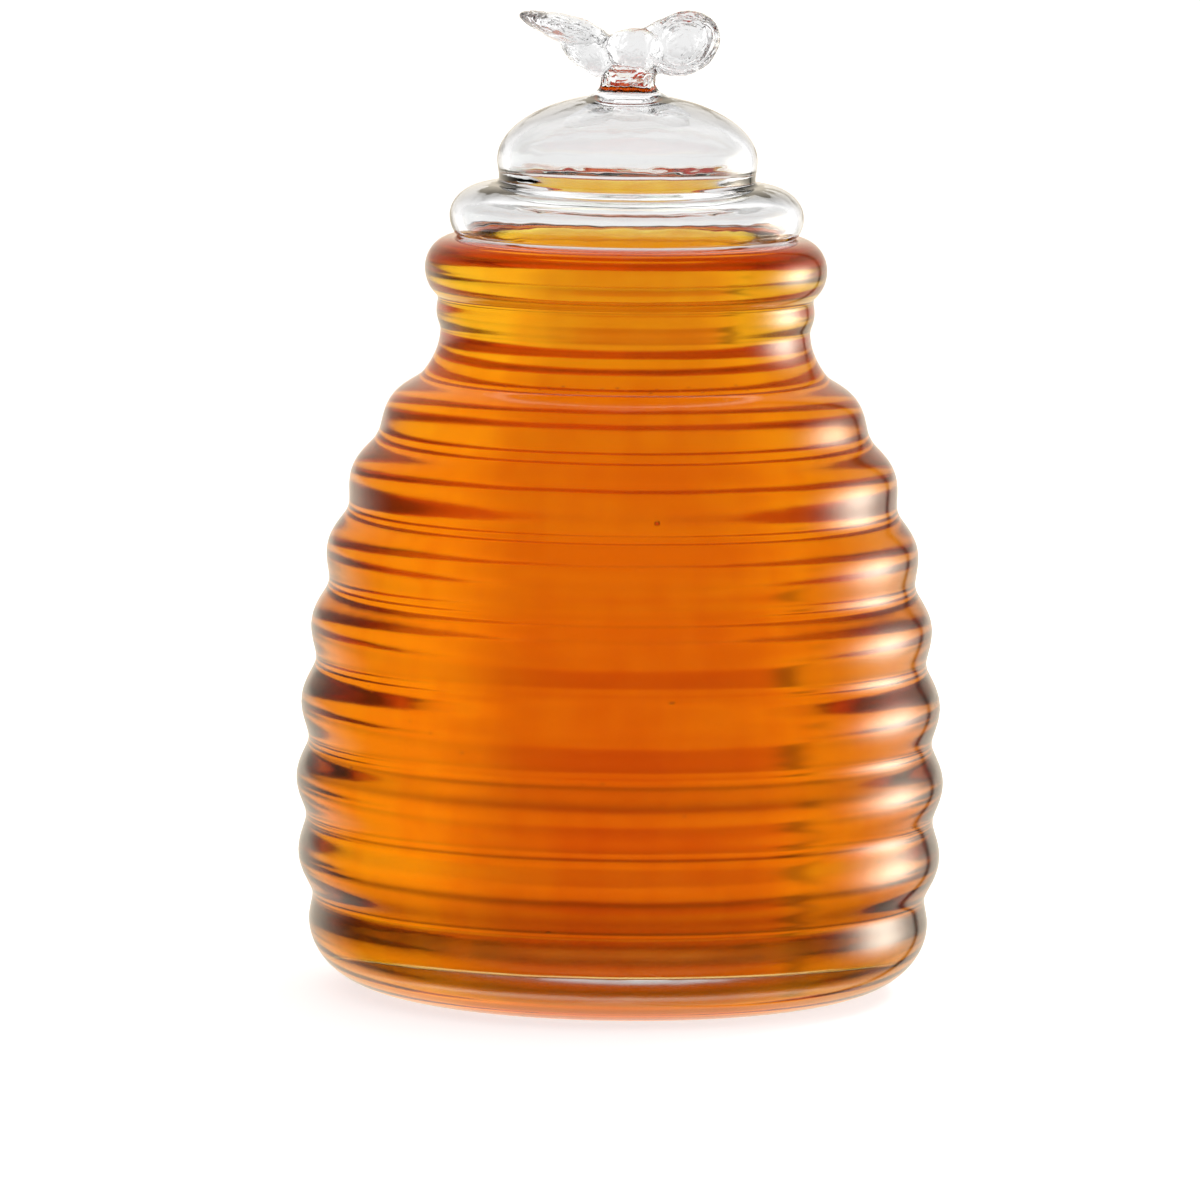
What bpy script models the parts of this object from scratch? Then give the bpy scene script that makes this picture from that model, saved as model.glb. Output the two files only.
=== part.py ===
"""A shut glass honey pot shaped like a straw beehive: ribbed jar, the honey in it, and a bee-topped lid.

Metres, +Z up, standing on z = 0 with the axis of the pot on x = y = 0. Its front looks along -Y.
Every shape of revolution is drawn as a list of (radius, height) points in millimetres, and turned once.
"""

import math

import bmesh
import bpy
from mathutils import Matrix, Vector

MM = 0.001
STEPS_ROUND = 36  # flat sides that stand for a circle
GAP = 0.3  # between two pieces that touch

# Jar: the foot and its rounding.
FOOT_RADIUS = 34.0
HEEL_RADIUS = 46.4
HEEL_HEIGHT = 10.0

# Jar: the grooves between the ribs, as (radius, height), from the heel up to the root of the neck.
GROOVES = (
    (45.9, 13.8),
    (47.0, 25.6),
    (46.7, 37.1),
    (45.7, 49.0),
    (43.9, 60.6),
    (41.1, 71.9),
    (36.9, 82.8),
    (30.1, 92.2),
)
RIB_BULGE = 1.6  # how far a rib stands out beyond the straight line from groove to groove
RIB_SOFTNESS = 0.35  # how rounded the grooves are
INNER_RIB_BULGE = 0.6
WALL = 2.6
FLOOR_HEIGHT = 8.0
FLOOR_CORNER = 5.0  # rounding between the floor and the wall, inside

# Jar: neck, the bead under the mouth, and the thick rolled ring round the mouth.
NECK_RADIUS = 27.6
NECK_TOP = 98.7
BEAD_BULGE = 0.4
RING_FOOT = (28.0, 103.5)
RING_RADIUS = 30.0
RING_MIDDLE = 107.8
JAR_TOP = 112.6
SEAT_OUTER = 25.6
SEAT_INNER = 24.4
MOUTH_RADIUS = 23.4

HONEY_LEVEL = 111.2

# Lid: a low rounded tier and a dome above it, blown hollow and open below.
LID_WALL = 1.9
TIER_RADIUS = 26.4
TIER_MIDDLE = 115.6
TIER_TOP = 120.5
TIER_ROUNDING = 6.2
WAIST_RADIUS = 19.1
WAIST_FILLET = 0.8
INNER_WAIST_CENTRE = (19.4, 121.2)  # the glass is thicker where the two tiers meet
INNER_WAIST_SIZE = (2.0, 2.6)
DOME_RADIUS = 19.4
DOME_MIDDLE = 124.0
DOME_TOP = 134.0

# Bee: the stem it stands on, and its lumps as (centre, half sizes, tilt about Y in degrees).
STEM_RADIUS = 4.1
STEM_FILLET = 0.9
STEM_TOP = 138.6
BEE_LUMPS = {
    "body": ((0.9, -0.4, 140.5), (5.0, 4.2, 3.3), 0.0),
    "tail": ((-5.9, 0.3, 139.9), (5.0, 3.6, 2.9), 36.0),
    "left_wing": ((-9.5, 0.9, 143.4), (7.4, 4.6, 2.3), 17.0),
    "shoulder": ((3.9, 0.4, 142.5), (3.6, 2.6, 2.0), -40.0),
    "right_wing": ((7.9, 0.6, 141.4), (6.0, 3.4, 4.8), -24.0),
}
BEE_STEPS = (16, 10)


def quarter(centre, half_sizes, start, end, steps):
    """Points of an ellipse between two angles in degrees, from 0 level outwards to 90 straight up."""
    points = []
    for step in range(steps + 1):
        angle = math.radians(start + (end - start) * step / steps)
        points.append((centre[0] + half_sizes[0] * math.cos(angle), centre[1] + half_sizes[1] * math.sin(angle)))
    return points


def rib(low, high, bulge, softness, steps):
    """Points from one groove up to the next, bulging outwards, without the upper groove itself."""
    along = Vector(high) - Vector(low)
    outward = Vector((along.y, -along.x)).normalized()
    points = []
    for step in range(steps):
        wave = math.sin(math.pi * step / steps)
        rounded = math.hypot(wave, softness) - softness
        height = bulge * rounded / (math.hypot(1.0, softness) - softness)
        points.append(tuple(Vector(low) + along * (step / steps) + outward * height))
    return points


def ribs(grooves, bulge, steps):
    points = []
    for low, high in zip(grooves, grooves[1:]):
        points += rib(low, high, bulge, RIB_SOFTNESS, steps)
    return points + [grooves[-1]]


def jar_outside():
    """From the middle of the foot, up the ribs and the neck, and over the ring to the seat of the lid."""
    heel = quarter((FOOT_RADIUS, HEEL_HEIGHT), (HEEL_RADIUS - FOOT_RADIUS, HEEL_HEIGHT), -90, 0, 6)
    root_radius, root_height = GROOVES[-1]
    neck = []
    for step in range(1, 5):
        part = 1 - step / 4
        radius = NECK_RADIUS + (root_radius - NECK_RADIUS) * part**2
        neck.append((radius, NECK_TOP - (NECK_TOP - root_height) * part))
    bead = rib(neck.pop(), RING_FOOT, BEAD_BULGE, RIB_SOFTNESS, 4)
    ring_centre = (SEAT_OUTER, RING_MIDDLE)
    ring_width = RING_RADIUS - SEAT_OUTER
    ring_low = quarter(ring_centre, (ring_width, 5.0), -55, 0, 4)
    ring_high = quarter(ring_centre, (ring_width, JAR_TOP - RING_MIDDLE), 0, 90, 6)
    body = heel + ribs(GROOVES, RIB_BULGE, 5) + neck
    return [(0.0, 0.0)] + body + bead + ring_low + ring_high[1:]


def cavity(shrink):
    """The hollow of the jar from its floor to the mouth, drawn in by shrink all over."""
    wall = WALL + shrink
    grooves = [(radius - wall, height) for radius, height in GROOVES]
    floor = FLOOR_HEIGHT + shrink
    corner_centre = (grooves[0][0] - FLOOR_CORNER, floor + FLOOR_CORNER)
    corner = quarter(corner_centre, (FLOOR_CORNER, FLOOR_CORNER), -90, -8, 4)
    neck = [(NECK_RADIUS - wall, 97.0), (NECK_RADIUS - wall, 100.0), (MOUTH_RADIUS - shrink, 104.5)]
    return [(0.0, floor)] + corner + ribs(grooves[1:], INNER_RIB_BULGE, 3) + neck


def jar_profile():
    lip = quarter((SEAT_INNER, JAR_TOP - 1.0), (SEAT_INNER - MOUTH_RADIUS, 1.0), 90, 180, 3)
    inside = cavity(0.0)
    inside.reverse()
    return jar_outside() + lip + inside


def honey_profile():
    return cavity(GAP) + [(MOUTH_RADIUS - GAP, HONEY_LEVEL), (0.0, HONEY_LEVEL)]


def lid_profile():
    """From the closed top of the stem down the outside, round the rim, and up the inside to the axis."""
    foot = JAR_TOP + GAP
    stem = [(0.0, STEM_TOP), (STEM_RADIUS, STEM_TOP), (STEM_RADIUS, DOME_TOP + STEM_FILLET)]
    flare_angle = math.degrees(math.acos((STEM_RADIUS + 2 * STEM_FILLET) / DOME_RADIUS))
    dome_height = DOME_TOP - DOME_MIDDLE
    dome = quarter((0.0, DOME_MIDDLE), (DOME_RADIUS, dome_height), flare_angle, 0, 8)
    fillet_centre = (WAIST_RADIUS + WAIST_FILLET, TIER_TOP + WAIST_FILLET)
    waist = [(DOME_RADIUS - 0.1, DOME_MIDDLE - 1.6)]
    waist += quarter(fillet_centre, (WAIST_FILLET, WAIST_FILLET), 180, 262, 3)
    tier_centre = (TIER_RADIUS - TIER_ROUNDING, TIER_MIDDLE)
    tier = quarter(tier_centre, (TIER_ROUNDING, TIER_TOP - TIER_MIDDLE), 85, 0, 7)
    low_half = 5.3
    low_angle = -math.degrees(math.asin((TIER_MIDDLE - foot) / low_half))
    tuck = quarter(tier_centre, (TIER_ROUNDING, low_half), 0, low_angle, 3)[1:]
    inner = TIER_ROUNDING - LID_WALL
    inner_tuck = quarter(tier_centre, (inner, low_half), low_angle, 0, 3)
    inner_tier = quarter(tier_centre, (inner, TIER_TOP - TIER_MIDDLE - LID_WALL), 0, 96, 6)[1:]
    inner_waist = quarter(INNER_WAIST_CENTRE, INNER_WAIST_SIZE, 268, 180, 4)
    inner_dome = quarter((0.0, DOME_MIDDLE), (DOME_RADIUS - LID_WALL, dome_height - LID_WALL), 0, 90, 8)
    inside = inner_tuck + inner_tier + inner_waist + inner_dome
    return stem + dome + waist + tier + tuck + inside


def material(name, colour, roughness, ior):
    made = bpy.data.materials.new(name)
    made.use_nodes = True
    shader = made.node_tree.nodes["Principled BSDF"]
    shader.inputs["Base Color"].default_value = (*colour, 1.0)
    shader.inputs["Roughness"].default_value = roughness
    shader.inputs["Metallic"].default_value = 0.0
    shader.inputs["IOR"].default_value = ior
    shader.inputs["Transmission Weight"].default_value = 1.0
    made.diffuse_color = (*colour, 1.0)
    return made


def add_object(name, mesh, mesh_material, smooth_angle):
    obj = bpy.data.objects.new(name, mesh)
    bpy.context.scene.collection.objects.link(obj)
    mesh.materials.append(mesh_material)
    mesh.shade_smooth()
    mesh.set_sharp_from_angle(angle=math.radians(smooth_angle))
    return obj


def turned(name, profile, mesh_material):
    """A closed solid: the profile, which starts and ends on the axis, turned once about Z."""
    shape = bmesh.new()
    points = [shape.verts.new((radius * MM, 0.0, height * MM)) for radius, height in profile]
    edges = [shape.edges.new(pair) for pair in zip(points, points[1:])]
    bmesh.ops.spin(
        shape,
        geom=points + edges,
        cent=(0.0, 0.0, 0.0),
        axis=(0.0, 0.0, 1.0),
        angle=math.tau,
        steps=STEPS_ROUND,
        use_merge=True,
    )
    bmesh.ops.remove_doubles(shape, verts=shape.verts, dist=0.00001)
    bmesh.ops.recalc_face_normals(shape, faces=shape.faces)
    mesh = bpy.data.meshes.new(name)
    shape.to_mesh(mesh)
    shape.free()
    return add_object(name, mesh, mesh_material, 40)


def lump(name, centre, half_sizes, tilt, mesh_material):
    shape = bmesh.new()
    bmesh.ops.create_uvsphere(
        shape,
        u_segments=BEE_STEPS[0],
        v_segments=BEE_STEPS[1],
        radius=1.0,
        matrix=Matrix.Rotation(math.radians(90), 4, "Y"),
    )
    bmesh.ops.scale(shape, vec=[size * MM for size in half_sizes], verts=shape.verts)
    mesh = bpy.data.meshes.new(name)
    shape.to_mesh(mesh)
    shape.free()
    obj = add_object(name, mesh, mesh_material, 40)
    obj.location = [value * MM for value in centre]
    obj.rotation_euler = (0.0, math.radians(tilt), 0.0)
    return obj


def fuse(obj, lumps):
    """Joins the lumps to the object, so that the lid and its bee are one piece of glass."""
    group = bpy.data.collections.new("bee_lumps")
    bpy.context.scene.collection.children.link(group)
    for each in lumps:
        bpy.context.scene.collection.objects.unlink(each)
        group.objects.link(each)
    union = obj.modifiers.new("bee", "BOOLEAN")
    union.operation = "UNION"
    union.operand_type = "COLLECTION"
    union.collection = group
    bpy.context.view_layer.objects.active = obj
    obj.select_set(True)
    bpy.ops.object.modifier_apply(modifier=union.name)
    for each in lumps:
        bpy.data.objects.remove(each)
    bpy.data.collections.remove(group)
    obj.data.shade_smooth()
    obj.data.set_sharp_from_angle(angle=math.radians(40))


for leftover in list(bpy.data.objects):
    bpy.data.objects.remove(leftover)

clear_glass = material("clear_glass", (0.93, 0.95, 0.94), 0.03, 1.52)
lid_glass = material("lid_glass", (0.95, 0.96, 0.96), 0.04, 1.52)
amber_honey = material("amber_honey", (0.86, 0.36, 0.02), 0.05, 1.49)

jar = turned("jar", jar_profile(), clear_glass)
honey = turned("honey", honey_profile(), amber_honey)
lid = turned("lid", lid_profile(), lid_glass)
lumps = [lump(name, *shape, lid_glass) for name, shape in BEE_LUMPS.items()]
fuse(lid, lumps)
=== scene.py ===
# %% [markdown]
# # A glass honey pot
# The pot is three pieces: a ribbed jar, the honey in it, and a hollow lid that carries a glass bee.
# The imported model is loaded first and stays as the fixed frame. Each of its nodes is then replaced by
# a finer piece of the same size in the same place.

import math

import bmesh
import bpy
from mathutils import Matrix, Vector, noise


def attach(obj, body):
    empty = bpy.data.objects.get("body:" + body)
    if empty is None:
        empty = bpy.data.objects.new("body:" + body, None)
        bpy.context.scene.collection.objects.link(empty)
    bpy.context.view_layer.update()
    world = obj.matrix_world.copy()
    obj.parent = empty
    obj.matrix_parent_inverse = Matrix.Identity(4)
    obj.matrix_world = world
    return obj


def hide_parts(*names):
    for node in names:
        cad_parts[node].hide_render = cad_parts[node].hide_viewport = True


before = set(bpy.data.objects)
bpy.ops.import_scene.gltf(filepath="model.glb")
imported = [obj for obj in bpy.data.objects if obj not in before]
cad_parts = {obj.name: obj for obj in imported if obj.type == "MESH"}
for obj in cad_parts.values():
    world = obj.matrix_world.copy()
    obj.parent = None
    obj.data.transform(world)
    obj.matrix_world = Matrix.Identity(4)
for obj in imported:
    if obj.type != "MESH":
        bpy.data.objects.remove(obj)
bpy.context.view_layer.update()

# %% [markdown]
# ## Sizes
# A pot like this is made of circles, so it is enough to know the radius at each height. All sizes are
# in millimetres, as (radius, height) where there are two, and are turned into metres at the very end.

# %% Sizes
MM = 0.001
STEPS_ROUND = 192

FOOT_RADIUS = 34.0
HEEL_RADIUS = 46.4
HEEL_HEIGHT = 10.0
GROOVES = (
    (45.9, 13.8),
    (47.0, 25.6),
    (46.7, 37.1),
    (45.7, 49.0),
    (43.9, 60.6),
    (41.1, 71.9),
    (36.9, 82.8),
    (30.1, 92.2),
)
RIB_BULGE = 1.6
RIB_SOFTNESS = 0.35
INNER_RIB_BULGE = 0.6
WALL = 2.6
FLOOR_HEIGHT = 8.0
FLOOR_CORNER = 5.0
NECK_RADIUS = 27.6
NECK_TOP = 98.7
RING_FOOT = (28.0, 103.5)
RING_RADIUS = 30.0
RING_MIDDLE = 107.8
JAR_TOP = 112.6
SEAT_OUTER = 25.6
SEAT_INNER = 24.4
MOUTH_RADIUS = 23.4
HONEY_LEVEL = 111.2
print("jar", 2 * (HEEL_RADIUS + RIB_BULGE), "mm across its heel ribs and", JAR_TOP, "mm tall")

# %% [markdown]
# ## Curves for the outline
# Three kinds of line make every outline here: part of an ellipse for rounded edges, a rib that bulges
# out between two grooves, and a soft S that joins two radii. Each is a short function that gives
# points, so the same named sizes can be drawn as finely as the piece needs.

# %% Outline helpers
def quarter(centre, half_sizes, start, end, steps):
    """Points of an ellipse between two angles, where 0 is level outwards and 90 is straight up."""
    points = []
    for step in range(steps + 1):
        angle = math.radians(start + (end - start) * step / steps)
        radius = centre[0] + half_sizes[0] * math.cos(angle)
        points.append((radius, centre[1] + half_sizes[1] * math.sin(angle)))
    return points


def rib(low, high, bulge, steps):
    """Points from one groove up to the next, bulging outwards, without the upper groove itself."""
    along = Vector(high) - Vector(low)
    outward = Vector((along.y, -along.x)).normalized()
    soft = RIB_SOFTNESS
    points = []
    for step in range(steps):
        wave = math.sin(math.pi * step / steps)
        rounded = (math.hypot(wave, soft) - soft) / (math.hypot(1.0, soft) - soft)
        points.append(tuple(Vector(low) + along * (step / steps) + outward * bulge * rounded))
    return points


def ribs(grooves, bulge, steps):
    """Points of all the ribs, from the lowest groove up to and with the highest."""
    points = []
    for low, high in zip(grooves, grooves[1:]):
        points += rib(low, high, bulge, steps)
    return points + [grooves[-1]]


def soft_s(low, high, steps):
    """Points between two places, without the two, that leave both straight up."""
    points = []
    for step in range(1, steps):
        part = step / steps
        eased = part * part * (3 - 2 * part)
        points.append((low[0] + (high[0] - low[0]) * eased, low[1] + (high[1] - low[1]) * part))
    return points


print("one rib has", len(rib(GROOVES[0], GROOVES[1], RIB_BULGE, 20)), "points")

# %% [markdown]
# ## Turning an outline
# Glass that is blown while it turns is round about one axis. In Blender that could be a Screw
# modifier, but bmesh's spin gives a finished mesh at once: a chain of vertices is swept once round Z,
# and the points on the axis are merged so that the poles are closed.

# %% Turning helper
def turned(profile):
    """A closed bmesh, in metres, from an outline that starts and ends on the axis."""
    shape = bmesh.new()
    points = [shape.verts.new((radius * MM, 0.0, height * MM)) for radius, height in profile]
    edges = [shape.edges.new(pair) for pair in zip(points, points[1:])]
    bmesh.ops.spin(
        shape,
        geom=points + edges,
        cent=(0.0, 0.0, 0.0),
        axis=(0.0, 0.0, 1.0),
        angle=math.tau,
        steps=STEPS_ROUND,
        use_merge=True,
    )
    bmesh.ops.remove_doubles(shape, verts=shape.verts, dist=0.000005)
    bmesh.ops.recalc_face_normals(shape, faces=shape.faces)
    return shape


def piece(name, shape):
    """An object at the origin whose mesh is the finished bmesh."""
    mesh = bpy.data.meshes.new(name)
    shape.to_mesh(mesh)
    shape.free()
    mesh.shade_smooth()
    obj = bpy.data.objects.new(name, mesh)
    bpy.context.scene.collection.objects.link(obj)
    print(name, len(mesh.polygons), "faces")
    return obj


def stands_for(obj, node):
    """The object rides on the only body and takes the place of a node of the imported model."""
    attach(obj, "root")
    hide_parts(node)


print("a full turn has", STEPS_ROUND, "steps")

# %% [markdown]
# ## The jar
# Seven ribs stand between grooves, under a neck that flares, a thin bead and a thick ring that was
# rolled over at the mouth. The outline runs up the outside, over the ring and down the inside, so one
# turn makes a glass wall with two real faces. Glass needs both, because each one bends the light.

# %% Outside of the jar
# the underside is a little hollow, so that the pot stands on a ring
UNDERSIDE = [(0.0, 0.7), (20.0, 0.7), (24.0, 0.5), (26.5, 0.1), (27.5, 0.0)]
BEAD_BULGE = 0.4
RING_LOW_HALF = 5.0
RING_LOW_ANGLE = -55


def neck_flare(steps):
    """Points of the neck, which leaves the last groove at a slant and ends straight up."""
    root_radius, root_height = GROOVES[-1]
    points = []
    for step in range(1, steps):
        part = 1 - step / steps
        radius = NECK_RADIUS + (root_radius - NECK_RADIUS) * part**2
        points.append((radius, NECK_TOP - (NECK_TOP - root_height) * part))
    return points


def jar_outside():
    heel_size = (HEEL_RADIUS - FOOT_RADIUS, HEEL_HEIGHT)
    heel = quarter((FOOT_RADIUS, HEEL_HEIGHT), heel_size, -90, 0, 24)
    heel += soft_s(heel[-1], GROOVES[0], 6)
    neck = neck_flare(20)
    bead = rib((NECK_RADIUS, NECK_TOP), RING_FOOT, BEAD_BULGE, 12)
    ring_centre = (SEAT_OUTER, RING_MIDDLE)
    ring_width = RING_RADIUS - SEAT_OUTER
    ring_low = quarter(ring_centre, (ring_width, RING_LOW_HALF), RING_LOW_ANGLE, 0, 14)
    ring_high = quarter(ring_centre, (ring_width, JAR_TOP - RING_MIDDLE), 0, 90, 20)
    ring = ring_low + ring_high[1:]
    return UNDERSIDE + heel + ribs(GROOVES, RIB_BULGE, 20) + neck + bead + ring


print("outside of the jar", len(jar_outside()), "points")

# %% Inside of the jar
CORNER_END = -8
INNER_NECK_LOW = 98.0
INNER_MOUTH_LOW = 105.0
LIP_ROUNDING = 1.0


def cavity(grow):
    """The hollow of the jar from its floor up to the mouth, made larger all over by grow."""
    wall = WALL - grow
    grooves = [(radius - wall, height) for radius, height in GROOVES]
    floor = FLOOR_HEIGHT - grow
    corner_centre = (grooves[0][0] - FLOOR_CORNER, floor + FLOOR_CORNER)
    corner = quarter(corner_centre, (FLOOR_CORNER, FLOOR_CORNER), -90, CORNER_END, 16)
    neck_low = (NECK_RADIUS - wall, INNER_NECK_LOW)
    mouth_low = (MOUTH_RADIUS + grow, INNER_MOUTH_LOW)
    neck = soft_s(grooves[-1], neck_low, 10) + [neck_low]
    neck += soft_s(neck_low, mouth_low, 12) + [mouth_low]
    return [(0.0, floor)] + corner + ribs(grooves[1:], INNER_RIB_BULGE, 16) + neck


def jar_outline():
    lip_centre = (SEAT_INNER, JAR_TOP - LIP_ROUNDING)
    lip = quarter(lip_centre, (SEAT_INNER - MOUTH_RADIUS, LIP_ROUNDING), 90, 180, 8)
    return jar_outside() + lip + cavity(0.0)[::-1]


print("outline of the jar", len(jar_outline()), "points")

# %% Jar
# a face between these heights that looks up at least this much is part of the glass floor
LOOKS_UP = 0.9
FLOOR_FROM, FLOOR_TO = 4.0, 13.0

jar_shape = turned(jar_outline())
for face in jar_shape.faces:
    # faces that the honey wets are numbered 1 and get a finish of their own
    middle = face.calc_center_median()
    inwards = face.normal.x * middle.x + face.normal.y * middle.y < 0
    on_floor = face.normal.z > LOOKS_UP and FLOOR_FROM * MM < middle.z < FLOOR_TO * MM
    face.material_index = int(middle.z < HONEY_LEVEL * MM and (inwards or on_floor))
jar_glass = piece("jar_glass", jar_shape)
stands_for(jar_glass, "jar")

# %% [markdown]
# ## The honey
# Honey touches the glass with no air between. If the two faces met exactly, the renderer could not
# tell which comes first, so the honey reaches a quarter of a millimetre into the wall. Its surface
# climbs a little where it wets the glass, and gets its own finish, because light meets it from air.

# %% Honey outline
REACH = 0.25
CLIMB = 0.4
CLIMB_WIDTH = 3.0
CLIMB_FADE = 0.8
CLIMB_STEPS = 8
LEVEL_FROM = 14.0


def honey_outline():
    edge = MOUTH_RADIUS + REACH
    wet = []
    for step in range(CLIMB_STEPS + 1):
        inward = CLIMB_WIDTH * step / CLIMB_STEPS
        wet.append((edge - inward, HONEY_LEVEL + CLIMB * math.exp(-inward / CLIMB_FADE)))
    return cavity(REACH) + wet + [(LEVEL_FROM, HONEY_LEVEL), (0.0, HONEY_LEVEL)]


honey_shape = turned(honey_outline())
for face in honey_shape.faces:
    middle = face.calc_center_median()
    face.material_index = int(middle.z > (HONEY_LEVEL - 0.1) * MM and face.normal.z > 0.5)
print("top faces", sum(face.material_index for face in honey_shape.faces))

# %% [markdown]
# ## Bubbles
# Bubbles hang in the honey, a few large and many fine. Each is a hollow: a small sphere in the same mesh
# whose faces look inwards, with a finish of its own. The fine ones are scattered by counting in strides
# that never fall into line, which spreads them more evenly than chance does.

# %% Bubbles
# across, depth and height of the middle, and radius
BUBBLES = (
    (4.6, -33.0, 73.6, 0.42),
    (6.9, -36.0, 46.6, 0.40),
    (-2.4, -38.0, 35.2, 0.26),
    (-9.8, -40.0, 14.6, 0.34),
    (-36.5, -18.0, 33.4, 0.30),
)
SHOULDER_BUBBLES = 26
FINE_BUBBLES = 70
STRIDES = (0.618, 0.377, 0.731, 0.453)
GOLDEN_ANGLE = 2.39996


def scattered(number, row):
    """A value from 0 to 1 that jumps about as the number counts up, in its own way for each row."""
    return (number * STRIDES[row]) % 1.0


def around(turn, reach, height):
    """A place from its angle about the axis, its distance from it and its height."""
    return (reach * math.cos(turn), reach * math.sin(turn), height)


def add_bubble(shape, centre, radius):
    place = Matrix.Translation(Vector(centre) * MM)
    made = bmesh.ops.create_icosphere(shape, subdivisions=2, radius=radius * MM, matrix=place)
    faces = {face for vert in made["verts"] for face in vert.link_faces}
    bmesh.ops.reverse_faces(shape, faces=list(faces))
    for face in faces:
        face.material_index = 2


for across, depth, height, radius in BUBBLES:
    add_bubble(honey_shape, (across, depth, height), radius)
for number in range(SHOULDER_BUBBLES):
    # a loose row just under the root of the neck, where air collects as the pot is filled
    turn = math.radians(-130 + 80 * scattered(number, 0))
    reach = 27.0 + 1.6 * scattered(number, 1)
    height = 91.0 + 1.2 * scattered(number, 2)
    size = 0.10 + 0.12 * scattered(number, 3)
    add_bubble(honey_shape, around(turn, reach, height), size)
inner_wall = ribs([(radius - WALL, height) for radius, height in GROOVES], INNER_RIB_BULGE, 4)
for number in range(FINE_BUBBLES):
    # specks of air all round, close behind the glass
    height = 15.0 + 75.0 * scattered(number, 0)
    wall_radius = min(radius for radius, level in inner_wall if abs(level - height) < 6.0)
    reach = wall_radius - 0.5 - 5.0 * scattered(number, 1)
    size = 0.07 + 0.10 * scattered(number, 2) ** 2
    add_bubble(honey_shape, around(GOLDEN_ANGLE * number, reach, height), size)
honey_fill = piece("honey_fill", honey_shape)
stands_for(honey_fill, "honey")
print("bubbles", len(BUBBLES) + SHOULDER_BUBBLES + FINE_BUBBLES)

# %% [markdown]
# ## The lid
# The lid is blown like a bubble in two tiers: a rounded lower one that rests on the ring, and a dome.
# Its outline again runs down the outside and back up the inside, 1.9 mm apart. At the foot and at the
# waist the inside runs further in: thick glass there bends the colour of the honey up into the lid.

# %% Sizes of the lid
LID_WALL = 1.9
TIER_RADIUS = 26.4
TIER_MIDDLE = 115.6
TIER_TOP = 120.5
TIER_ROUNDING = 6.2
WAIST_RADIUS = 19.1
DOME_RADIUS = 19.4
DOME_MIDDLE = 124.0
DOME_TOP = 134.0
STEM_RADIUS = 4.1
STEM_TOP = 137.6
DOME_HEIGHT = DOME_TOP - DOME_MIDDLE
STEM_FLARE = 2.0
WAIST_FILLET = 0.8
TIER_CENTRE = (TIER_RADIUS - TIER_ROUNDING, TIER_MIDDLE)
TUCK_HALF = 5.3
INNER_TUCK_HALF = 3.6
INNER_WAIST_CENTRE = (18.7, 120.4)
INNER_WAIST_SIZE = (2.3, 1.8)
PRESS = 0.06
LID_FOOT = JAR_TOP - PRESS
RIM_ROUNDING = (0.45, 0.5)
print("lid", 2 * TIER_RADIUS, "mm across and", STEM_TOP - LID_FOOT, "mm to the top of its stem")


# %% Outside of the lid
def tuck_angle(half_height):
    """Where on an ellipse of this half height the rounded edge of the rim begins."""
    return -math.degrees(math.asin((TIER_MIDDLE - LID_FOOT - RIM_ROUNDING[1]) / half_height))


def stem_outline():
    """The stem, whose foot spreads where it was melted onto the dome."""
    points = [(0.0, STEM_TOP), (STEM_RADIUS - 0.4, STEM_TOP), (STEM_RADIUS, STEM_TOP - 0.5)]
    for wider, height in ((0.0, 1.3), (0.25, 0.7), (0.8, 0.15)):
        points.append((STEM_RADIUS + wider, DOME_TOP + height))
    return points


def lid_outside():
    flare = math.degrees(math.acos((STEM_RADIUS + STEM_FLARE) / DOME_RADIUS))
    dome = quarter((0.0, DOME_MIDDLE), (DOME_RADIUS, DOME_HEIGHT), flare, 0, 26)
    waist_low = (WAIST_RADIUS, TIER_TOP + WAIST_FILLET)
    fillet_centre = (WAIST_RADIUS + WAIST_FILLET, TIER_TOP + WAIST_FILLET)
    fillet = quarter(fillet_centre, (WAIST_FILLET, WAIST_FILLET), 180, 262, 8)
    waist = soft_s(dome[-1], waist_low, 8) + fillet
    tier = quarter(TIER_CENTRE, (TIER_ROUNDING, TIER_TOP - TIER_MIDDLE), 86, 0, 24)
    tuck = quarter(TIER_CENTRE, (TIER_ROUNDING, TUCK_HALF), 0, tuck_angle(TUCK_HALF), 10)[1:]
    return stem_outline() + dome + waist + tier + tuck


print("outside of the lid", len(lid_outside()), "points")


# %% Inside of the lid
def lid_inside():
    inner = TIER_ROUNDING - LID_WALL
    tuck = quarter(TIER_CENTRE, (inner, INNER_TUCK_HALF), tuck_angle(INNER_TUCK_HALF), 0, 12)
    tier = quarter(TIER_CENTRE, (inner, TIER_TOP - TIER_MIDDLE - LID_WALL), 0, 96, 18)[1:]
    waist = quarter(INNER_WAIST_CENTRE, INNER_WAIST_SIZE, 268, 180, 12)
    waist += soft_s(waist[-1], (DOME_RADIUS - LID_WALL, DOME_MIDDLE - 0.6), 8)
    dome_size = (DOME_RADIUS - LID_WALL, DOME_HEIGHT - LID_WALL)
    return tuck + tier + waist + quarter((0.0, DOME_MIDDLE), dome_size, 0, 90, 26)


def lid_outline():
    outside, inside = lid_outside(), lid_inside()
    rounding = RIM_ROUNDING[0]
    rim = [(outside[-1][0] - rounding, LID_FOOT), (inside[0][0] + rounding, LID_FOOT)]
    return outside + rim + inside


lid_shape = turned(lid_outline())

# %% [markdown]
# ## Tool marks on the stem
# The stem was pinched while it was soft, so it isn't quite round. Two noises, one broad and one fine,
# push its points in and out. They fade in above the dome, and leave out the flat top that the bee hides.

# %% Tool marks on the stem
PINCH = 0.16
FINE_PINCH = 0.08
SLIMMER = 0.04
MARKS_EDGE = 0.6
MARKS_FADE = 0.8


def noise_at(place, across, upwards):
    """Noise at a place in millimetres, from how fine it is across and upwards."""
    return noise.noise(Vector((place.x * across, place.y * across, place.z * upwards)))


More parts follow.
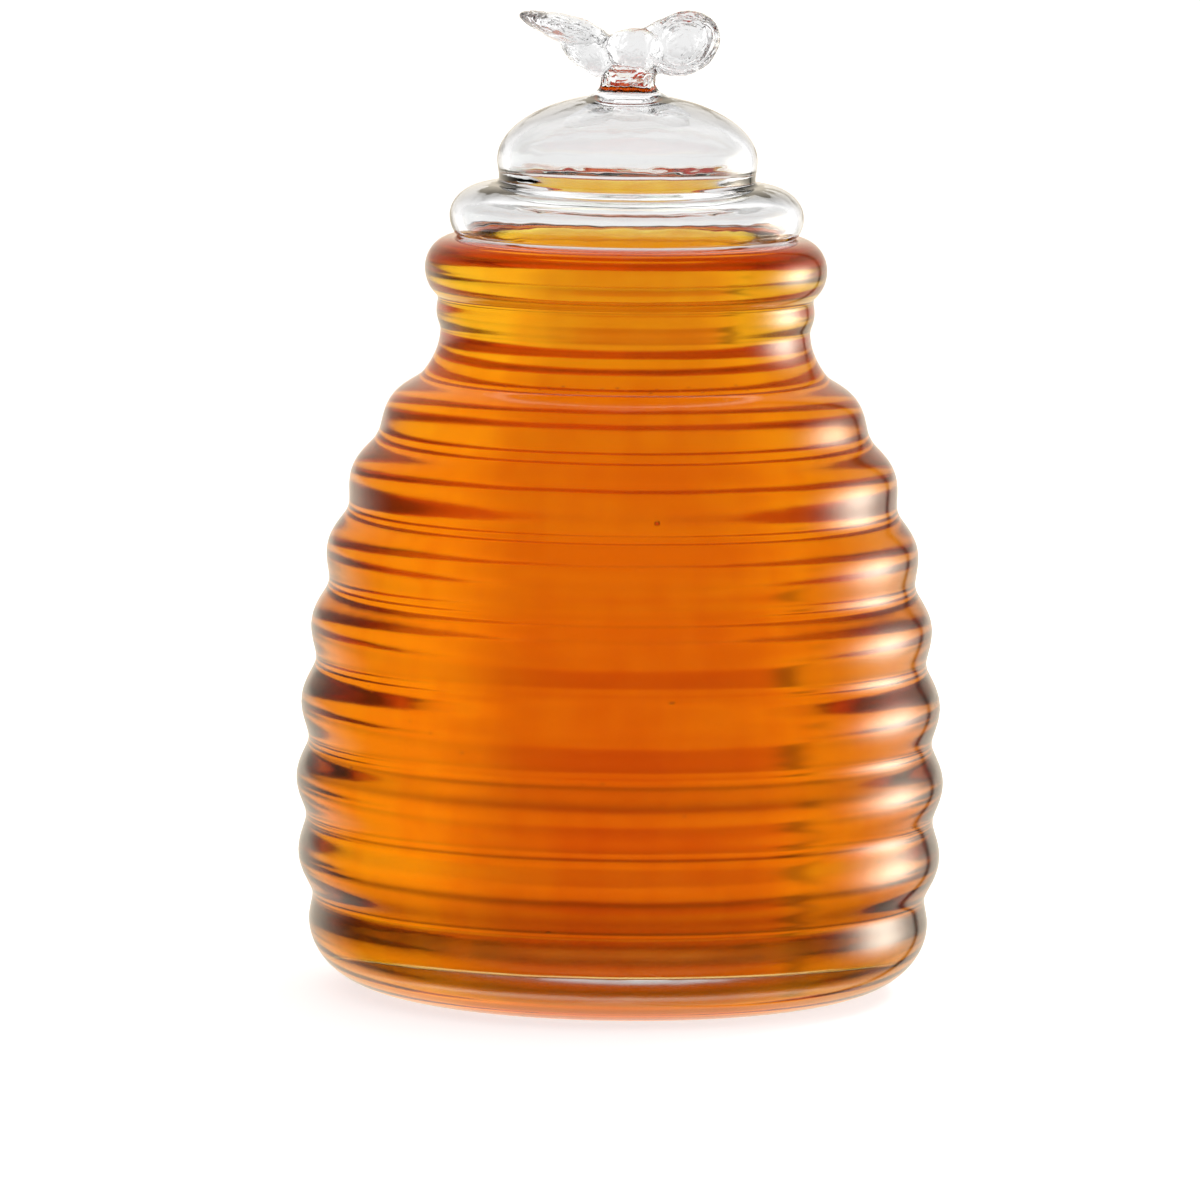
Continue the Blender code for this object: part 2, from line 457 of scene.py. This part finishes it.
for vert in lid_shape.verts:
    place = vert.co * 1000
    on_stem = min(max((place.z - DOME_TOP - MARKS_EDGE) / MARKS_FADE, 0.0), 1.0)
    on_stem *= place.z < STEM_TOP - MARKS_EDGE
    if on_stem:
        marks = PINCH * noise_at(place, 0.5, 1.3) + FINE_PINCH * noise_at(place, 1.4, 3.0)
        vert.co.xy *= 1 + on_stem * (marks - SLIMMER)
lid_blank = piece("lid_blank", lid_shape)

# %% [markdown]
# ## The bee
# The bee is a few blobs of hot glass pressed together on the stem: a body with its tail, and two
# wings that were pulled out and folded. Each blob starts as a sphere that is stretched, tilted and
# placed. A voxel remesh melts them into one skin, and noise along the normals gives the tool marks.

# %% Bee blobs
# past this part of its half length, a blob that tapers grows no wider
TAPER_END = 0.4
# of each blob: the middle, the half sizes, the tilt in degrees and how much its left end tapers
BLOBS = (
    ((0.9, -0.4, 140.5), (5.0, 4.2, 3.3), 0.0, 0.0),
    ((-5.9, 0.3, 139.9), (5.0, 3.6, 2.9), 36.0, 0.0),
    ((-9.5, 0.9, 143.4), (7.4, 4.6, 2.3), 17.0, 0.2),
    ((3.9, 0.4, 142.5), (3.6, 2.6, 2.0), -40.0, 0.0),
    ((7.9, 0.6, 141.4), (6.0, 3.4, 4.8), -24.0, 0.0),
    ((0.2, 0.0, 136.9), (4.0, 4.0, 2.2), 0.0, 0.0),
)


def blob(shape, centre, half_sizes, tilt, taper):
    """A stretched and tilted sphere in millimetres."""
    made = bmesh.ops.create_uvsphere(shape, u_segments=48, v_segments=32, radius=1.0)
    long, deep, tall = half_sizes
    for vert in made["verts"]:
        x, y, z = vert.co
        narrow = 1.0 + taper * min(x, TAPER_END)
        vert.co = (x * long, y * deep * narrow, z * tall * narrow)
    place = Matrix.Translation(Vector(centre)) @ Matrix.Rotation(math.radians(tilt), 4, "Y")
    bmesh.ops.transform(shape, matrix=place, verts=made["verts"])


bee_shape = bmesh.new()
for centre, half_sizes, tilt, taper in BLOBS:
    blob(bee_shape, centre, half_sizes, tilt, taper)
bmesh.ops.scale(bee_shape, vec=(MM, MM, MM), verts=bee_shape.verts)
bee = piece("bee", bee_shape)


# %% Melting the blobs
MELT_VOXEL = 0.00032


def applied(obj):
    """Makes the object's modifiers part of its mesh."""
    bpy.context.view_layer.update()
    graph = bpy.context.evaluated_depsgraph_get()
    mesh = bpy.data.meshes.new_from_object(obj.evaluated_get(graph))
    obj.modifiers.clear()
    obj.data = mesh


melt = bee.modifiers.new("melt", "REMESH")
melt.mode = "VOXEL"
melt.voxel_size = MELT_VOXEL
applied(bee)
print("melted bee", len(bee.data.polygons), "faces")

# %% Smoothing the bee
SMOOTHINGS = 4

bee_skin = bmesh.new()
bee_skin.from_mesh(bee.data)
for _ in range(SMOOTHINGS):
    bmesh.ops.smooth_vert(
        bee_skin,
        verts=bee_skin.verts,
        factor=0.5,
        use_axis_x=True,
        use_axis_y=True,
        use_axis_z=True,
    )
bee_skin.normal_update()
print("smoothed", len(bee_skin.verts), "points")

# %% Folds and tool marks on the bee
# of each fold: the middle, the half sizes and the tilt, seen from the front, and the depth in mm
FOLDS = (
    ((7.9, 141.4), (6.0, 4.8), -24.0, 0.22),
    ((-9.5, 143.4), (7.4, 2.3), 17.0, 0.12),
    ((-5.9, 139.9), (5.0, 2.9), 36.0, 0.10),
)
FOLD_RINGS = (0.42, 0.66, 0.86)
FOLD_WIDTH = 0.06
FOLD_WANDER = 0.10
BROAD_MARKS = 0.16
FINE_MARKS = 0.05
SUNK_ALL_OVER = 0.1


def groove(place):
    """How far a point sinks: the wound glass leaves rings that follow the edge of each fold."""
    sunk = 0.0
    for (across, height), (wide, tall), tilt, depth in FOLDS:
        angle = math.radians(tilt)
        dx, dz = place.x - across, place.z - height
        along = (dx * math.cos(angle) - dz * math.sin(angle)) / wide
        upright = (dx * math.sin(angle) + dz * math.cos(angle)) / tall
        ring = math.hypot(along, upright)
        wander = FOLD_WANDER * noise_at(place, 0.25, 0.25)
        for middle in FOLD_RINGS:
            sunk += depth * math.exp(-(((ring + wander - middle) / FOLD_WIDTH) ** 2))
    return sunk


for vert in bee_skin.verts:
    place = vert.co * 1000
    marks = BROAD_MARKS * noise_at(place, 0.3, 0.5)
    marks += FINE_MARKS * noise.noise(place * 1.1 + Vector((7.0, 3.0, 1.0)))
    vert.co += vert.normal * MM * (marks - groove(place) - SUNK_ALL_OVER)
bee_skin.to_mesh(bee.data)
bee_skin.free()

# %% Bee and lid become one piece of glass
union = lid_blank.modifiers.new("bee", "BOOLEAN")
union.operation = "UNION"
union.solver = "EXACT"
union.object = bee
applied(lid_blank)
bpy.data.objects.remove(bee)
lid_glass = lid_blank
lid_glass.name = "lid_with_bee"
lid_glass.data.name = "lid_with_bee"
lid_glass.data.shade_smooth()
stands_for(lid_glass, "lid")
print("lid and bee", len(lid_glass.data.polygons), "faces")

# %% [markdown]
# ## Writing materials as sums
# A node tree is easier to read as arithmetic. The class wraps one output of a node, and a sum or a
# product of two such values adds the Math node that works it out. Its other methods add the few nodes
# that are used again and again: one axis of a vector, a size without its sign, a run from one number to
# another, and a smooth bump.

# %% Shader helper
class Value:
    """One output socket of a node tree, with arithmetic."""

    def __init__(self, tree, socket):
        self.tree = tree
        self.socket = socket

    def node(self, kind, settings=None, inputs=None, output=0):
        """Adds any node: its settings first, then the values or links of its sockets."""
        return add_node(self.tree, kind, settings, inputs, output)

    def maths(self, operation, first, second):
        return self.node("ShaderNodeMath", {"operation": operation}, {0: first, 1: second})

    def __add__(self, other):
        return self.maths("ADD", self, other)

    def __mul__(self, other):
        return self.maths("MULTIPLY", self, other)

    def __sub__(self, other):
        return self.maths("SUBTRACT", self, other)

    def __rsub__(self, other):
        return self.maths("SUBTRACT", other, self)

    __radd__ = __add__
    __rmul__ = __mul__

    def magnitude(self):
        return self.maths("ABSOLUTE", self, 0.0)

    def axis(self, letter):
        return self.node("ShaderNodeSeparateXYZ", inputs={0: self}, output=letter)

    def run(self, start, end, low, high, kind="LINEAR"):
        """Runs from low to high while this value goes from start to end, and stays there beyond."""
        return self.node(
            "ShaderNodeMapRange",
            {"interpolation_type": kind},
            {"Value": self, "From Min": start, "From Max": end, "To Min": low, "To Max": high},
        )

    def hump(self, middle, width):
        """A smooth bump that is 1 at the middle and has fallen to about a third one width away."""
        away = (self - middle) * (1 / width)
        return self.maths("EXPONENT", away * away * -1.0, 0.0)


def add_node(tree, kind, settings=None, inputs=None, output=0):
    made = tree.nodes.new(kind)
    for key, value in (settings or {}).items():
        if key == "stops":
            ramp = made.color_ramp
            while len(ramp.elements) < len(value):
                ramp.elements.new(0.5)
            for element, (place, colour) in zip(ramp.elements, value):
                element.position = place
                element.color = (*colour, 1.0)
        else:
            setattr(made, key, value)
    for key, value in (inputs or {}).items():
        if isinstance(value, Value):
            tree.links.new(value.socket, made.inputs[key])
        else:
            made.inputs[key].default_value = value
    return Value(tree, made.outputs[output]) if made.outputs else None


print("helper ready")

# %% Material helpers
def new_material(name):
    made = bpy.data.materials.new(name)
    made.use_nodes = True
    made.node_tree.nodes.clear()
    return made


def object_place(tree):
    return add_node(tree, "ShaderNodeTexCoord", output="Object")


def stretched(place, upright):
    """The place with its height scaled: above 1 flattens a pattern, below 1 draws it out."""
    return place.node("ShaderNodeMapping", inputs={"Vector": place, "Scale": (1.0, 1.0, upright)})


def grain(place, scale, detail, **inputs):
    """A soft noise. The other inputs are those of the node, such as Roughness or Distortion."""
    inputs.update({"Vector": place, "Scale": scale, "Detail": detail})
    return place.node("ShaderNodeTexNoise", inputs=inputs)


def clear_surface(tree, colour, roughness, step, **inputs):
    """A surface that lets all light through, where step is the index of refraction."""
    inputs.update({"Base Color": colour, "Roughness": roughness, "IOR": step})
    inputs["Transmission Weight"] = 1.0
    return add_node(tree, "ShaderNodeBsdfPrincipled", inputs=inputs)


def material_output(tree, surface, **inputs):
    """Closes a material: its surface, and a volume where it has one."""
    add_node(tree, "ShaderNodeOutputMaterial", inputs={"Surface": surface, **inputs})


print("material helpers ready")

# %% [markdown]
# ## Blown glass
# Real blown glass is not a perfect lens: its faces wave a little. A soft noise bump gives the waves,
# and roughness rises a touch where fingers leave a film. The bee was wound from a hot thread, so finer
# waves start above the dome. Where honey wets the jar there is hardly a step from one to the other, and
# those faces bend the light only a little.

# %% Glass materials
GLASS_STEP = 1.52
WETTED_STEP = 1.1
JAR_TINT = (0.985, 0.995, 0.99, 1.0)
LID_TINT = (0.985, 0.985, 0.985, 1.0)
SWELL_FLATNESS = 2.2
THREAD_SCALE = 330.0
THREAD_HEIGHT = 4.0
THREAD_FADE = 2.0 * MM
FILM_SCALE = 90.0


def glass(name, tint, wave_height, wave_length, wound_above=None):
    """Clear glass whose faces wave a little. Above a given height it is wound from threads."""
    made = new_material(name)
    tree = made.node_tree
    place = object_place(tree)
    flattened = stretched(place, SWELL_FLATNESS)
    relief = grain(flattened, 1 / wave_length, 2.0, Roughness=0.4)
    if wound_above:
        wound = place.axis("Z").run(wound_above, wound_above + THREAD_FADE, 0.0, THREAD_HEIGHT)
        relief = relief + grain(place, THREAD_SCALE, 1.0, Distortion=2.0) * wound
    bump = relief.node("ShaderNodeBump", inputs={"Height": relief, "Distance": wave_height})
    film = grain(place, FILM_SCALE, 2.0) * 0.03 - 0.006
    material_output(tree, clear_surface(tree, tint, film, GLASS_STEP, Normal=bump))
    return made


def wetted_glass(name, tint):
    """Glass where honey lies against it: almost no step for the light, so it is hardly seen."""
    made = new_material(name)
    tree = made.node_tree
    material_output(tree, clear_surface(tree, tint, 0.0, WETTED_STEP))
    return made


jar_finish = glass("jar_glass", JAR_TINT, wave_height=0.06 * MM, wave_length=12.0 * MM)
lid_finish = glass(
    "lid_glass",
    LID_TINT,
    wave_height=0.12 * MM,
    wave_length=9.0 * MM,
    wound_above=(DOME_TOP + 0.5) * MM,
)
jar_glass.data.materials.append(jar_finish)
jar_glass.data.materials.append(wetted_glass("wetted_glass", JAR_TINT))
lid_glass.data.materials.clear()
lid_glass.data.materials.append(lid_finish)
print("glass on", jar_glass.name, "and", lid_glass.name)

# %% [markdown]
# ## Honey
# Honey is clear: its amber comes from depth. A Volume Absorption node takes out blue at once and
# green more slowly, so the thin neck looks golden and the thick belly looks orange. Two noises in the
# base colour make it a little cloudy, one in soft patches and one drawn out into upright streaks, and a
# ring just above the floor is darkened with painted shade, for the shade under the pot seen through the
# base. The faces that lie in the glass need only the small step from glass to honey, while the open
# surface and the bubbles have steps of their own.

# %% Honey material
DARK_CLOUD = (0.92, 0.66, 0.22)
PALE_CLOUD = (1.0, 0.88, 0.33)
CLOUD_SCALE = 60.0
STREAK_SCALE = 240.0
STREAK_LENGTH = 0.22
# painted shade: a darker ring just above the floor, for the shade under the pot seen through the base
PAINTED_SHADE_TINT = (0.42, 0.37, 0.3, 1.0)
PAINTED_SHADE_HEIGHT = 16.0 * MM
PAINTED_SHADE_WIDTH = 2.6 * MM
AMBER = (0.98, 0.76, 0.0, 1.0)
AMBER_DENSITY = 80.0


def honey_material(name, step):
    made = new_material(name)
    tree = made.node_tree
    place = object_place(tree)
    cloud = grain(place, CLOUD_SCALE, 3.0, Roughness=0.62)
    streaks = grain(stretched(place, STREAK_LENGTH), STREAK_SCALE, 1.0)
    tone = add_node(
        tree,
        "ShaderNodeValToRGB",
        {"stops": [(0.42, DARK_CLOUD), (0.58, PALE_CLOUD)]},
        {"Fac": cloud * 0.7 + streaks * 0.3},
    )
    height = place.axis("Z")
    # painted shade in the base colour, a darker ring just above the floor
    painted_shade = height.hump(PAINTED_SHADE_HEIGHT, PAINTED_SHADE_WIDTH)
    base = add_node(
        tree,
        "ShaderNodeMixRGB",
        {"blend_type": "MULTIPLY"},
        {"Fac": painted_shade, "Color1": tone, "Color2": PAINTED_SHADE_TINT},
    )
    # clearer near the floor, so that the ring of painted shade stays sharp
    cloudy = height.run(11.0 * MM, 20.0 * MM, 0.08, 0.22)
    surface = clear_surface(tree, base, cloudy, step)
    depth = add_node(
        tree, "ShaderNodeVolumeAbsorption", inputs={"Color": AMBER, "Density": AMBER_DENSITY}
    )
    material_output(tree, surface, Volume=depth)
    return made


# in the order of the face numbers: against the glass, on the open surface and in the bubbles
for name, step in (("amber_honey", WETTED_STEP), ("honey_surface", 1.01), ("honey_bubbles", 1.45)):
    honey_fill.data.materials.append(honey_material(name, step))
print("honey finishes", [finish.name for finish in honey_fill.data.materials])

# %% [markdown]
# ## Floor and lamps
# The floor is plain and pale, and glows a little so that it comes out as even as paper. The glass
# doesn't see it, nor the lamps: those only light the floor and give the pot its faint shadow.

# %% Floor
FLOOR_RADIUS = 7.0

floor_shape = bmesh.new()
bmesh.ops.create_circle(floor_shape, cap_ends=True, segments=96, radius=FLOOR_RADIUS)
floor = piece("floor", floor_shape)
floor.visible_glossy = False
floor.visible_transmission = False
floor_finish = new_material("floor")
floor_tree = floor_finish.node_tree
floor_surface = add_node(
    floor_tree,
    "ShaderNodeBsdfPrincipled",
    inputs={
        "Base Color": (0.86, 0.86, 0.86, 1.0),
        "Roughness": 0.9,
        "Emission Color": (1.0, 1.0, 1.0, 1.0),
        "Emission Strength": 0.72,
    },
)
material_output(floor_tree, floor_surface)
floor.data.materials.append(floor_finish)


# %% Lamps
def add_lamp(name, kind, energy):
    """A lamp that isn't seen in or through the glass."""
    lamp = bpy.data.objects.new(name, bpy.data.lights.new(name, kind))
    lamp.data.energy = energy
    lamp.visible_glossy = False
    lamp.visible_transmission = False
    bpy.context.scene.collection.objects.link(lamp)
    return lamp


top_light = add_lamp("top_light", "SUN", 1.3)
top_light.data.angle = math.radians(130)
top_light.rotation_euler = (math.radians(-12), math.radians(8), 0.0)
side_light = add_lamp("side_light", "AREA", 3.0)
side_light.data.shape = "DISK"
side_light.data.size = 0.3
side_light.location = (0.30, 0.34, 0.40)
print("lamps", top_light.name, side_light.name)

# %% [markdown]
# ## The sky
# Clear things have no look of their own: they are drawn by what they bend and what they mirror. In a
# studio those two are lit apart, with a bright screen behind for what is seen through the glass, and a
# window and a panel for the shine on it. Here one sky does both, and is written as sums of its direction:
# turn is the compass direction in degrees, 0 straight behind the pot, and upwards runs from -1 to 1.

# %% Directions of the sky
world = bpy.data.worlds.new("studio")
bpy.context.scene.world = world
world.use_nodes = True
# the sky is smooth, so it needs no sampling of its own, which would only take time
world.cycles.sampling_method = "NONE"
sky = world.node_tree
sky.nodes.clear()
direction = add_node(sky, "ShaderNodeTexCoord", output="Generated")
to_right, to_back, upwards = direction.axis("X"), direction.axis("Y"), direction.axis("Z")
turn = to_right.maths("ARCTAN2", to_right, to_back) * (180 / math.pi)
aside = turn.magnitude()


def fade(value, start, end, low=0.0, high=1.0):
    return value.run(start, end, low, high, "SMOOTHSTEP")


print("sky made of", len(sky.nodes), "nodes so far")

# %% [markdown]
# What the glass mirrors is a low glow and a panel behind the pot, which edge the glass with light, and a
# warm window at the right, whose reflection stands on the shoulders of the ribs.

# %% What the glass mirrors
ROOM_LIGHT = 0.03
WINDOW_TURN = 66.0
WINDOW_WIDTH = 16.0
WINDOW_LIGHT = 11.0

behind = fade(aside, 30.0, 70.0, 1.0, 0.0)
low_glow = fade(upwards, -0.03, 0.07, 1.0, 0.22)
panel = turn.hump(0.0, 27.0) * fade(upwards, 0.5, 0.85, 1.0, 0.3)
# a dark upright between the panel and the window parts their reflections
gap = 1 - 0.9 * turn.hump(33.0, 3.5)
window = turn.hump(WINDOW_TURN, WINDOW_WIDTH) * upwards.hump(0.0, 0.24) * WINDOW_LIGHT
mirrored = (ROOM_LIGHT + behind * low_glow + panel * (1 - low_glow)) * gap + window
print("window", WINDOW_TURN, "degrees to the right and", WINDOW_LIGHT, "times as bright as white")

# %% [markdown]
# What is seen through the glass depends on how many faces the light has crossed. Four of them make the
# lid, six make the body of the jar, and light that was thrown back inside has crossed ten or more. So
# the count tells the parts of the pot apart, and the screen behind gets a red flag and a dark arrow that
# show through the honey but leave the lid clear.

# %% What is seen through the glass
crossings = add_node(sky, "ShaderNodeLightPath", output="Transmission Depth")
body = fade(crossings, 4.2, 5.8)
deep = fade(crossings, 7.5, 9.5)
beside = fade(aside, 14.0, 30.0)
through = 0.93 + 0.5 * beside - 0.5 * fade(aside, 56.0, 76.0)
through = through * fade(turn, -36.0, -14.0, 0.84, 1.0)
through = through * (fade(upwards, -0.05, 0.3, 1.0, 0.8) + fade(upwards, 0.4, 0.7, 0.0, 0.4))
# the arrow points aside at its middle height and thins out above and below
from_tip = (upwards - 0.1).magnitude()
arrow = (turn + 22.0 + from_tip * 26.0).hump(0.0, 2.4) * upwards.hump(0.1, 0.2)
through = through * (1 - 0.6 * arrow * body) * (1 + 0.6 * deep)

# %% Colour of what is seen through the glass
flag = fade(turn, -24.0, -20.0) * fade(turn, 4.0, 22.0, 1.0, 0.0)
flag = flag * fade(upwards, -0.08, 0.02) * fade(upwards, 0.2, 0.32, 1.0, 0.0)
red = (0.03 * fade(upwards, 0.0, 0.3) + 0.65 * flag) * (1 - deep)
golden = 0.32 * beside * (1 - deep) + 0.9 * deep
seen = add_node(sky, "ShaderNodeLightPath", output="Is Camera Ray")
passed = add_node(sky, "ShaderNodeLightPath", output="Is Transmission Ray")
warmth = add_node(
    sky,
    "ShaderNodeValToRGB",
    {"stops": [(0.0, (0.60, 1.0, 0.6)), (0.5, (1.0, 1.0, 1.0)), (1.0, (0.85, 0.5, 0.4))]},
    {"Fac": 0.5 + 0.5 * passed * body * (red - golden)},
)

# %% The sky as a whole
WINDOW_COLOUR = (1.0, 0.9, 0.74, 1.0)

strength = seen + (1 - seen) * (passed * through + (1 - passed) * mirrored)
colour = add_node(
    sky,
    "ShaderNodeMixRGB",
    inputs={"Fac": seen + (1 - seen) * passed, "Color1": WINDOW_COLOUR, "Color2": warmth},
)
background = add_node(sky, "ShaderNodeBackground", inputs={"Color": colour, "Strength": strength})
add_node(sky, "ShaderNodeOutputWorld", inputs={"Surface": background})
print("sky made of", len(sky.nodes), "nodes")

# %% [markdown]
# ## Camera
# The view is from far away with a long lens, a little above the pot, and it is turned by under a
# degree, as the pot leans in its picture.

# %% Camera
VIEW_DISTANCE = 1.495
VIEW_ELEVATION = 6.5
VIEW_ROLL = 0.7
VIEW_CENTRE = (-3.3, 0.0, 59.6)
LENS = 300.0
SENSOR = 36.0

aim = Vector(VIEW_CENTRE) * MM
camera_data = bpy.data.cameras.new("camera")
camera_data.lens = LENS
camera_data.sensor_width = SENSOR
camera = bpy.data.objects.new("camera", camera_data)
rise = math.radians(VIEW_ELEVATION)
camera.location = aim + Vector((0.0, -math.cos(rise), math.sin(rise))) * VIEW_DISTANCE
look = (aim - camera.location).to_track_quat("-Z", "Y").to_matrix().to_4x4()
camera.rotation_euler = (look @ Matrix.Rotation(math.radians(VIEW_ROLL), 4, "Z")).to_euler()
bpy.context.scene.collection.objects.link(camera)
bpy.context.scene.camera = camera
print("camera at", [round(value, 3) for value in camera.location])

# %% [markdown]
# ## Colour and bounces
# Light crosses six faces of the pot and more, so it is followed further than is usual. The standard
# view keeps the amber as strong as it is worked out.

# %% Colour and bounces
scene = bpy.context.scene
scene.view_settings.view_transform = "Standard"
scene.cycles.max_bounces = 20
scene.cycles.transmission_bounces = 20
scene.cycles.transparent_max_bounces = 16
